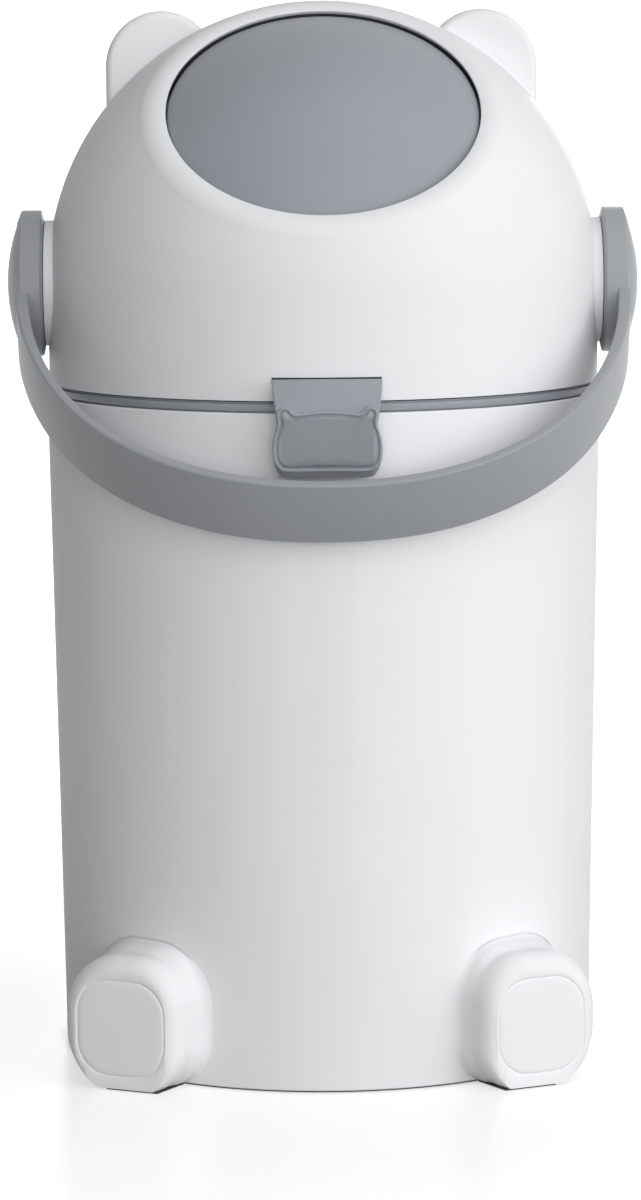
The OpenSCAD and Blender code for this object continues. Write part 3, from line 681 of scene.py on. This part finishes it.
paw = {
    "turn": 24.5, "face": 155.0, "low": -2.0, "samples": 144, "soleSoft": 0.8,
    "pad": {"inner": 9.5, "outer": 72.4, "top": 65.0, "corners": (23.0, 31.0, 29.0, 25.0)},
    "neck": {"inner": 3.6, "outer": 74.0, "top": 69.0, "corners": (26.0, 30.0, 30.0, 29.0)},
    "line": {"centre": (40.4, 30.2), "half": (23.0, 23.2), "corner": 16.5},
    # How far in from the outline, and how proud of the bin or, on the pad, how far behind its face
    "crispFoot": [(-0.9, 0.1), (-0.9, 0.5), (-0.1, 0.62), (-0.25, 1.1), (-0.9, 2.2), (-1.5, 4.0)],
    "softFoot": [(1.8, -0.12), (0.0, 0.35), (-1.6, 1.1), (-3.0, 2.4), (-4.0, 4.2), (-4.7, 6.3)],
    "softRound": [-0.3, 0.1, 0.4, 0.8, 1.4, 2.3, 3.4, 4.7, 6.2, 7.4],
    "padRound": [(0.3, 14.0), (0.05, 11.8), (0.0, 9.6), (0.2, 7.6), (0.8, 5.7), (1.8, 4.0),
                 (3.1, 2.5), (4.6, 1.3), (6.2, 0.45), (7.4, 0.08)],
    "footShares": (0.0, 0.35, 0.7, 0.9), "waistShares": (0.15, 0.3, 0.45, 0.6, 0.75, 0.88),
    "softLean": 0.35, "softFrom": 0.05, "softOver": 0.6, "middleProud": 0.22,
    "hub": (38.0, 30.0), "lineIn": 0.3, "lineOut": 0.55, "lineDeep": 0.7, "lineTop": 1.4,
    "lineFade": 1.6, "stepIn": -30.0, "stepOut": 110.0, "stepBack": -90.0, "stepFront": -200.0,
    # Below: black strips under the paws and a black ring under the bin's edge, painted shade standing in for the
    # contact shadow
    "soleHigh": 0.75, "shadowSole": [(21.4, -154.2), (48.4, -154.2), (52.0, -121.8), (18.4, -131.2)],
    "edgeIn": 128.9, "edgeOut": 130.9, "edgeHigh": 0.45,
    "groove": [(0.95, 0.0), (0.6, 0.12), (0.3, 0.42), (0.0, 0.55), (-0.3, 0.42), (-0.6, 0.12),
               (-0.95, 0.0), (-3.0, -0.05), (-7.0, -0.12), (-13.0, -0.2)],
}


# A rounded box outline, its points evenly spread from the middle of its lower side
def boxOutline(inner, outer, low, top, corners, count):
    shape = softened([((inner + outer) / 2, low), (outer, low, corners[1]),
                      (outer, top, corners[2]), (inner, top, corners[3]),
                      (inner, low, corners[0])], 14)
    spots = [Vector(p) for p in shape]
    spots.append(spots[0])
    lengths = [0.0]
    for a, b in zip(spots, spots[1:]):
        lengths.append(lengths[-1] + (b - a).length)
    result, i = [], 0
    for k in range(count):
        goal = lengths[-1] * k / count
        while lengths[i + 1] < goal:
            i += 1
        share = (goal - lengths[i]) / (lengths[i + 1] - lengths[i])
        result.append(spots[i].lerp(spots[i + 1], share))
    return result


def insetBox(form, inset, low, count):
    corners = [max(c - inset, 2.0) for c in form["corners"]]
    return boxOutline(form["inner"] + inset, form["outer"] - inset, low, form["top"] - inset,
                      corners, count)


# How much a point of the neck's outline belongs to the soft inner side
def softness(point):
    way = (point - Vector(paw["hub"])).normalized()
    inward = -way.x - way.y * paw["softLean"]
    share = min(max((inward - paw["softFrom"]) / paw["softOver"], 0.0), 1.0)
    return share * share * (3 - 2 * share)


# How far out the bin's wall is at a point of the paw's outline, plus a rise
def onCone(point, rise):
    return sqrt(max(coneR(max(point.y, 0)) ** 2 - point.x**2, 1.0)) + rise


# The fine line round each paw, cut into the bin where the paw's edge is crisp
def pawLine(p):
    count, low = p["samples"], p["low"]
    inner = insetBox(p["neck"], p["lineIn"], low, count)
    outer = insetBox(p["neck"], -p["lineOut"], low, count)
    rings = []
    for points, deep in ((inner, True), (outer, True), (outer, False), (inner, False),
                         (inner, True)):
        ring = []
        for point, mid in zip(points, inner):
            cut = p["lineDeep"] * (1 - p["lineFade"] * softness(mid))
            ring.append((point.x, -onCone(point, -cut if deep else p["lineTop"]), point.y))
        rings.append(ring)
    tool = wrapGrid("pawLine", rings)
    moveInto(tool, Matrix.Rotation(radians(p["turn"]), 4, "Z"))
    return tool


def buildBin(b):
    top, wall = b["height"], b["wall"]
    profile = softened([
        (0, 0), (b["baseR"] - b["footInset"], 0), (b["baseR"] - b["footInset"], b["footGap"]),
        (b["baseR"], b["footGap"], b["footRound"]), (coneR(top), top, b["rimRound"]),
        (coneR(top) - wall, top, 0.5), (coneR(b["floor"]) - wall, b["floor"], 2.0),
        (0, b["floor"])])
    body = turnProfile("binBody", profile)
    for side in (-1, 1):
        x0, x1 = sorted((side * b["lugIn"], side * b["lugOut"]))
        combine(body, hingeLug(x0, x1, b["lugWall"], b["lugLow"], b["lugHigh"]), "UNION")
    cutHingeBore(body)
    root = -coneR(b["ribMiddle"]) + b["ribSink"]
    rib = [(root, b["ribRoot"][1]), (b["ribFront"], b["ribNose"][1]),
           (b["ribFront"], b["ribNose"][0]), (root, b["ribRoot"][0])]
    combine(body, prismAlongX("latchRib", rib, -b["ribHalf"], b["ribHalf"], edge=0.4), "UNION")
    line = pawLine(paw)
    combine(body, mirroredCopy(line, "otherLine"), "DIFFERENCE")
    combine(body, line, "DIFFERENCE")
    finishPiece(body, "bin", "white_plastic", "bin_body", smoothAngle=30)


buildBin(binBody)

bagRing = {
    "outR": 136.0, "inR": 123.0, "low": 326.4, "high": 331.4,
    "reveal": 0.8, "revealDeep": 2.2, "lean": 0.45, "lipR": 125.5, "lipLow": 319.2,
    "skirtIn": 130.6, "skirtOut": 133.1, "skirtLow": 314.4,
    "grooveIn": 126.8, "grooveOut": 131.0, "grooveFloor": 329.3,
    "lugIn": 20.5, "lugOut": 29.0, "lugWall": 133.0,
}


def buildRing(g):
    low, high, edge = g["low"], g["high"], g["reveal"]
    inset = g["outR"] - g["revealDeep"]
    middle = (low + high) / 2
    profile = softened([
        (g["inR"], high, 0.4), (g["grooveIn"], high), (g["grooveIn"], g["grooveFloor"]),
        (g["grooveOut"], g["grooveFloor"]), (g["grooveOut"], high), (inset, high),
        (inset, high - edge), (g["outR"], high - edge, 0.3), (g["outR"], middle),
        (g["outR"] - g["lean"], low + edge, 0.3),
        (inset, low + edge), (inset, low),
        (g["skirtOut"], low), (g["skirtOut"], g["skirtLow"], 0.6),
        (g["skirtIn"], g["skirtLow"], 0.6), (g["skirtIn"], low), (g["lipR"], low),
        (g["lipR"], g["lipLow"], 0.6), (g["inR"], g["lipLow"], 0.6)])
    ring = turnProfile("bagRing", profile)
    for side in (-1, 1):
        x0, x1 = sorted((side * g["lugIn"], side * g["lugOut"]))
        combine(ring, hingeLug(x0, x1, g["lugWall"], low + edge, high - edge), "UNION")
    cutHingeBore(ring)
    finishPiece(ring, "bag_ring", "grey_plastic", "bag_ring", smoothAngle=30)


buildRing(bagRing)
print("head, bin and ring modelled")


# Handle: a strap bent to a U between two hubs, with domed caps

handle = {
    "restAngle": 32.0, "halfSpan": 149.05, "rise": 164.6, "straight": 22.15, "power": 2.18,
    "start": 31.2, "width": 34.0, "thick": 4.8, "edge": 1.3,
    "hubR": 36.0, "hubBackR": 31.4, "hubBoreR": 17.0, "hubIn": 137.5, "hubEdge": 148.6,
    "hubFace": 150.8, "recessR": 30.2, "web": 142.6,
    "capR": 29.2, "capTop": 156.0, "capWall": 2.0, "endGrow": 1.5, "endSteps": 20,
}


# The middle line of the strap's outer face, half of a rounded box, in even steps
def strapCurve(h, count=132):
    power = 2 / h["power"]
    first = asin(((h["start"] - h["straight"]) / h["rise"]) ** (1 / power))
    fine = []
    for k in range(2001):
        turn = first + (pi - 2 * first) * k / 2000
        fine.append(Vector((h["halfSpan"] * abs(cos(turn)) ** power * (1 if cos(turn) > 0 else -1),
                            h["straight"] + h["rise"] * sin(turn) ** power)))
    lengths = [0.0]
    for a, b in zip(fine, fine[1:]):
        lengths.append(lengths[-1] + (b - a).length)
    curve, i = [], 0
    for k in range(count + 1):
        goal = lengths[-1] * k / count
        while i < len(lengths) - 2 and lengths[i + 1] < goal:
            i += 1
        curve.append(fine[i].lerp(fine[i + 1], (goal - lengths[i]) / (lengths[i + 1] - lengths[i])))
    return curve


def buildHandle(h):
    curve = strapCurve(h)
    corner = softened([(0, -h["width"] / 2, h["edge"]), (0, h["width"] / 2, h["edge"]),
                       (-h["thick"], h["width"] / 2, 1.0), (-h["thick"], -h["width"] / 2, 1.0)], 5)
    rings = []
    for i, here in enumerate(curve):
        along = (curve[min(i + 1, len(curve) - 1)] - curve[max(i - 1, 0)]).normalized()
        out = Vector((along.y, -along.x))
        near = max(0.0, 1 - min(i, len(curve) - 1 - i) / h["endSteps"])
        grow = h["endGrow"] * near * near * (3 - 2 * near)
        reach = [(d + grow * (1 + d / h["thick"]), w) for d, w in corner]
        rings.append([(here.x + out.x * d, here.y + out.y * d, w) for d, w in reach])
    strap = wrapGrid("strap", rings)
    fillEnds(strap)
    rest = radians(180 + h["restAngle"])
    moveInto(strap, Matrix.Translation(pivot) @ Matrix.Rotation(rest, 4, "X"))
    for side in (-1, 1):
        hub = turnProfile("hub", softened([
            (h["hubBoreR"], h["hubIn"]), (h["hubBackR"], h["hubIn"], 0.6),
            (h["hubR"], h["hubIn"] + 1.0, 0.8),
            (h["hubR"], h["hubEdge"], 0.9), (h["recessR"] + 0.4, h["hubFace"], 0.3),
            (h["recessR"], h["hubFace"] - 0.2), (h["recessR"], h["web"]),
            (h["hubBoreR"], h["web"])]), 192)
        moveInto(hub, Matrix.Translation(pivot) @ Matrix.Rotation(side * pi / 2, 4, "Y"))
        combine(strap, hub, "UNION")
    strap.name = "strapHandle"
    finishPiece(strap, "drum", "grey_plastic", "handle", smoothAngle=30, look=strapLook)
    domed = h["capTop"] - h["hubFace"]
    capBall = (h["capR"] ** 2 + domed**2) / (2 * domed)
    centre = (0, h["capTop"] - capBall)
    span = degrees(asin(h["capR"] / capBall))
    bulge = arcPoints(centre, capBall, 90, 90 - span + 1.0, 20)
    inner = capBall - h["capWall"]
    insideR = h["capR"] - h["capWall"]
    hollow = arcPoints(centre, inner, 90 - degrees(asin(insideR / inner)), 90, 12)
    caps = ((-1, "hubCapLeft", "hub_cap_left"), (1, "hubCapRight", "hub_cap_right"))
    for side, name, node in caps:
        cap = turnProfile(name, bulge + [(h["capR"] - 0.15, h["hubFace"] - 0.15),
                                         (h["capR"], h["hubFace"] - 0.5),
                                         (h["capR"], h["web"] + 0.2), (insideR, h["web"] + 0.2)]
                          + hollow, 160)
        moveInto(cap, Matrix.Translation(pivot) @ Matrix.Rotation(side * pi / 2, 4, "Y"))
        finishPiece(cap, "drum", "grey_plastic", node, smoothAngle=30, look=strapLook)


buildHandle(handle)
print("handle modelled")


# Latch: a sloping flap whose plate has a rim, a groove and a raised panel

latch = {
    "grooveLine": [(0, 326.7), (7, 326.4), (12.5, 325.75), (15.4, 325.5), (17.4, 326.7),
                   (18.6, 328.3), (20.0, 328.95), (21.4, 328.3), (21.95, 326.9), (21.5, 325.0),
                   (21.3, 323.2), (21.7, 321.3), (22.6, 319.0), (23.4, 316.0), (23.75, 312.5),
                   (23.7, 309.0), (23.2, 306.0), (22.0, 303.8), (20.3, 302.5), (18.0, 302.2),
                   (9, 302.2), (0, 302.2)],
    "rimLine": [(0, 328.9), (7, 328.6), (12, 328.0), (14.6, 327.9), (16.2, 328.8),
                (17.5, 330.2), (19.9, 330.9), (22.7, 329.8), (23.9, 327.6), (23.6, 325.2),
                (23.4, 323.3), (23.7, 321.0), (24.5, 318.4), (25.3, 315.6), (25.7, 312.3),
                (25.6, 308.7), (25.1, 305.4), (23.6, 302.5), (21.3, 300.7), (18.4, 300.25),
                (9, 300.2), (0, 300.2)],
    "front": -150.0, "back": -144.2, "middle": 308.0, "underLip": 3.3, "rollR": 4.5,
    "slope": 30.0, "bandY": -149.15, "bandLow": 322.5, "skin": 1.4, "halfTop": 26.05,
    "topTaper": 0.054, "lowTaper": 0.035, "taperLow": 329.7, "taperReach": 6.0,
    "rollFrom": -100.0, "kneeR": 3.0, "bandThick": 2.6, "rollFoot": (-4.2, -6.5), "lipReach": 9.0,
    # The plate's sides: how far out and ahead, and the share of the lip under it
    "plateBack": [(-0.5, 0.0, 1.0), (-0.1, 0.4, 1.0), (0.0, 1.2, 0.93)],
    "plateFront": [(3.2, 0.5), (1.5, 0.12), (0.9, 0.0)],
    # The plate's face: share of the way from groove to rim, or inset in the groove, and how proud
    "rimFace": [(0.97, 0.45), (0.88, 0.1), (0.76, -0.13), (0.62, -0.25), (0.48, -0.27),
                (0.36, -0.15), (0.27, 0.1), (0.2, 0.4), (0.14, 0.6), (0.06, 0.72)],
    "panelEdge": [(0.15, 0.72), (0.32, 0.6), (0.45, 0.35), (0.6, 0.1), (0.8, -0.1), (1.1, -0.24)],
    "panelShares": (0.95, 0.88, 0.78, 0.64, 0.48, 0.3, 0.12, 0.0), "panelOval": (20.0, 10.5),
    "panelFace": -0.24, "crown": 0.7,
    "pocketHalf": 22.4, "pocketFront": -6.6, "pocketBack": 7.0, "pocketLow": -22.0,
    "knuckleR": 3.15, "hookHalf": 10.4, "hookSink": 0.5,
    "hookRoot": (305.7, 316.7), "hookNose": (310.2, 312.7), "hookBack": -141.5,
}


def mirroredLine(half):
    return half + [(-x, z) for x, z in half[-2:0:-1]]


def buildLatch(p):
    groove = closedCurve(mirroredLine(p["grooveLine"]), 6)
    rim = closedCurve(mirroredLine(p["rimLine"]), 6)
    front = p["front"]
    middle = Vector((0, p["middle"]))

    def ringAt(points, y, drop=0.0):
        low = min(point.y for point in points)
        return [(point.x, y, point.y - drop * max(0.0, 1 - (point.y - low) / p["lipReach"]) ** 1.5)
                for point in points]

    def towards(points, share):
        return [middle + (point - middle) * share for point in points]

    rings = [ringAt(towards(rim, s), p["back"], p["underLip"] * s) for s in (0.0, 0.5, 0.9)]
    for out, ahead, share in p["plateBack"]:
        rings.append(ringAt(offsetOutward(rim, out), p["back"] - ahead, p["underLip"] * share))
    for ahead, share in p["plateFront"]:
        rings.append(ringAt(rim, front + ahead, p["underLip"] * share))
    for share, proud in p["rimFace"]:
        rings.append(ringAt([g.lerp(r, share) for g, r in zip(groove, rim)], front + proud))
    for inset, proud in p["panelEdge"]:
        rings.append(ringAt(offsetOutward(groove, -inset), front + proud))
    panel = offsetOutward(groove, -p["panelEdge"][-1][0])
    wide, high = p["panelOval"]
    for share in p["panelShares"]:
        rounder = []
        for q in panel:
            way = (q - middle) / max((q - middle).length, 0.01)
            rounder.append(q.lerp(middle + Vector((way.x * wide, way.y * high)), 1 - share))
        proud = p["panelFace"] - p["crown"] * (1 - share**2)
        rings.append(ringAt(towards(rounder, share), front + proud))
    plate = wrapGrid("latchPlate", rings)
    slope = radians(p["slope"])
    pin, roll = latchPin, p["rollR"]
    lean = Vector((-cos(slope), sin(slope)))
    down = Vector((-sin(slope), -cos(slope)))
    reach = (-p["bandY"] + pin.y + lean.x * roll) / sin(slope)
    knee = lean * roll + down * reach
    outline = arcPoints((0, 0), roll, p["rollFrom"], 180 - p["slope"], 28)
    outline += softened([tuple(lean * roll), (knee.x, knee.y, p["kneeR"]),
                         (knee.x, p["bandLow"] - pin.z),
                         (knee.x + p["bandThick"], p["bandLow"] - pin.z), p["rollFoot"]], 8)[1:]
    half = p["halfTop"]
    flap = prismAlongX("latchFlap", [(pin.y + y, pin.z + z) for y, z in outline], -half, half,
                       edge=0.9)
    top = pin.z + roll
    for point in flap.data.vertices:
        upper = min(1.0, (top - point.co.z) / (top - p["taperLow"]))
        lower = max(0.0, (p["taperLow"] - point.co.z) / p["taperReach"])
        point.co.x *= 1 - p["topTaper"] * upper - p["lowTaper"] * lower
    inner = lean * (roll - p["skin"])
    foot = inner + down * ((inner.x - p["pocketFront"]) / sin(slope))
    pocket = [(0, 0), (p["pocketBack"], p["pocketBack"]), (p["pocketBack"], p["pocketLow"]),
              (p["pocketFront"], p["pocketLow"]), tuple(foot), tuple(inner)]
    pocket = [(pin.y + y, pin.z + z) for y, z in pocket]
    inside = p["pocketHalf"]
    combine(flap, prismAlongX("pocket", pocket, -inside, inside), "DIFFERENCE")
    combine(flap, rodAlongX("knuckle", p["knuckleR"], -inside, inside, pin.y, pin.z), "DIFFERENCE")
    combine(flap, plate, "UNION")
    root = p["back"] - p["hookSink"]
    hook = [(root, p["hookRoot"][1]), (p["hookBack"], p["hookNose"][1]),
            (p["hookBack"], p["hookNose"][0]), (root, p["hookRoot"][0])]
    combine(flap, prismAlongX("hook", hook, -p["hookHalf"], p["hookHalf"], edge=0.5), "UNION")
    cutPinBore(flap)
    finishPiece(flap, "latch", "grey_plastic", "latch_flap", smoothAngle=32, look=latchShadeLook)


# A thin black strip over the latch, put where there is only shade: painted shade for the dark gap along its top
# edge
latchShadowStrip = {"outR": 136.35, "inR": 133.9, "low": 341.4, "high": 343.25, "reach": 10.9}


def buildLatchShadowStrip(q):
    outer = arcPoints((0, 0), q["outR"], -90 - q["reach"], -90 + q["reach"], 24)
    inner = arcPoints((0, 0), q["inR"], -90 + q["reach"], -90 - q["reach"], 24)
    levels = (q["low"], q["high"])
    seal = wrapGrid("latchShadowStrip", [[(x, y, z) for x, y in outer + inner] for z in levels])
    fillEnds(seal)
    # The black of rubber here is painted shade
    finishPiece(seal, "head", "seal_rubber", smoothAngle=30)


buildLatch(latch)
buildLatchShadowStrip(latchShadowStrip)
print("latch modelled")


def buildPaw(p):
    count, low = p["samples"], p["low"]
    pad, neck = p["pad"], p["neck"]
    hub = Vector(p["hub"])

    def ringOf(points, depths):
        ring = []
        for point, depth in zip(points, depths):
            z = 0.5 * (point.y + sqrt(point.y**2 + p["soleSoft"] ** 2))
            ring.append((point.x, -depth, z))
        return ring

    outline = insetBox(neck, 0.0, low, count)
    soft = [softness(q) for q in outline]

    def footRing(crisp, smooth, share=1.0):
        points, depths = [], []
        wide = insetBox(neck, -smooth[0], low, count)
        narrow = insetBox(neck, -crisp[0], low, count)
        for k in range(count):
            point = narrow[k].lerp(wide[k], soft[k])
            point = hub + (point - hub) * share
            points.append(point)
            depths.append(onCone(point, crisp[1] + (smooth[1] - crisp[1]) * soft[k] * share))
        return points, depths

    pairs = list(zip(p["crispFoot"], p["softFoot"]))
    rings = [ringOf(*footRing(*pairs[0], share)) for share in p["footShares"]]
    rings += [ringOf(*footRing(*pair)) for pair in pairs]
    neckTop, neckDepth = footRing(*pairs[-1])

    def padRing(inset, softInset):
        return [a.lerp(b, k) for a, b, k in zip(insetBox(pad, inset, low, count),
                                                insetBox(pad, softInset, low, count), soft)]

    back = p["padRound"][0][1]
    waist = padRing(p["padRound"][0][0], p["softRound"][0])
    for share in p["waistShares"]:
        ease = share * share * (3 - 2 * share)
        points = [a.lerp(b, ease + (share - ease) * k) for a, b, k in zip(neckTop, waist, soft)]
        rings.append(ringOf(points, [d + (p["face"] - back - d) * share for d in neckDepth]))
    for (inset, back), softInset in zip(p["padRound"], p["softRound"]):
        rings.append(ringOf(padRing(inset, softInset), [p["face"] - back] * count))
    line = p["line"]
    (ct, cz), (ht, hz) = line["centre"], line["half"]
    for grow, sink in p["groove"]:
        points = boxOutline(ct - ht - grow, ct + ht + grow, cz - hz - grow, cz + hz + grow,
                            [max(line["corner"] + grow, 3.0)] * 4, count)
        rings.append(ringOf(points, [p["face"] - sink] * count))
    rings.append(ringOf([Vector((ct, cz))] * count, [p["face"] + p["middleProud"]] * count))
    right = wrapGrid("pawRight", rings)
    gap = p["soleHigh"]
    around = [(p["stepIn"], p["stepBack"]), (p["stepOut"], p["stepBack"]),
              (p["stepOut"], p["stepFront"]), (p["stepIn"], p["stepFront"])]
    step = wrapGrid("soleStep", [[(t, y, z) for t, y in around] for z in (-1.0, gap)])
    fillEnds(step)
    combine(right, step, "DIFFERENCE")
    moveInto(right, Matrix.Rotation(radians(p["turn"]), 4, "Z"))
    # Black strips under the paws and a black ring under the bin's edge: painted shade standing in for the contact
    # shadow on the floor
    shadowSole = wrapGrid("shadowSoles", [[(t, y, z) for t, y in p["shadowSole"]] for z in (0.0, gap)])
    fillEnds(shadowSole)
    moveInto(shadowSole, Matrix.Rotation(radians(p["turn"]), 4, "Z"))
    combine(shadowSole, mirroredCopy(shadowSole, "otherShadowSole"), "UNION")
    edgeIn, edgeOut, edgeHigh = p["edgeIn"], p["edgeOut"], p["edgeHigh"]
    edge = turnProfile("shadowEdgeRing", [(edgeIn, 0), (edgeOut, 0), (edgeOut, edgeHigh),
                                    (edgeIn, edgeHigh)])
    combine(shadowSole, edge, "UNION")
    finishPiece(shadowSole, "bin", "seal_rubber")
    left = mirroredCopy(right, "pawLeft")
    finishPiece(right, "bin", "white_plastic", "paw_right", smoothAngle=40)
    finishPiece(left, "bin", "white_plastic", "paw_left", smoothAngle=40)


buildPaw(paw)
print("paws modelled")
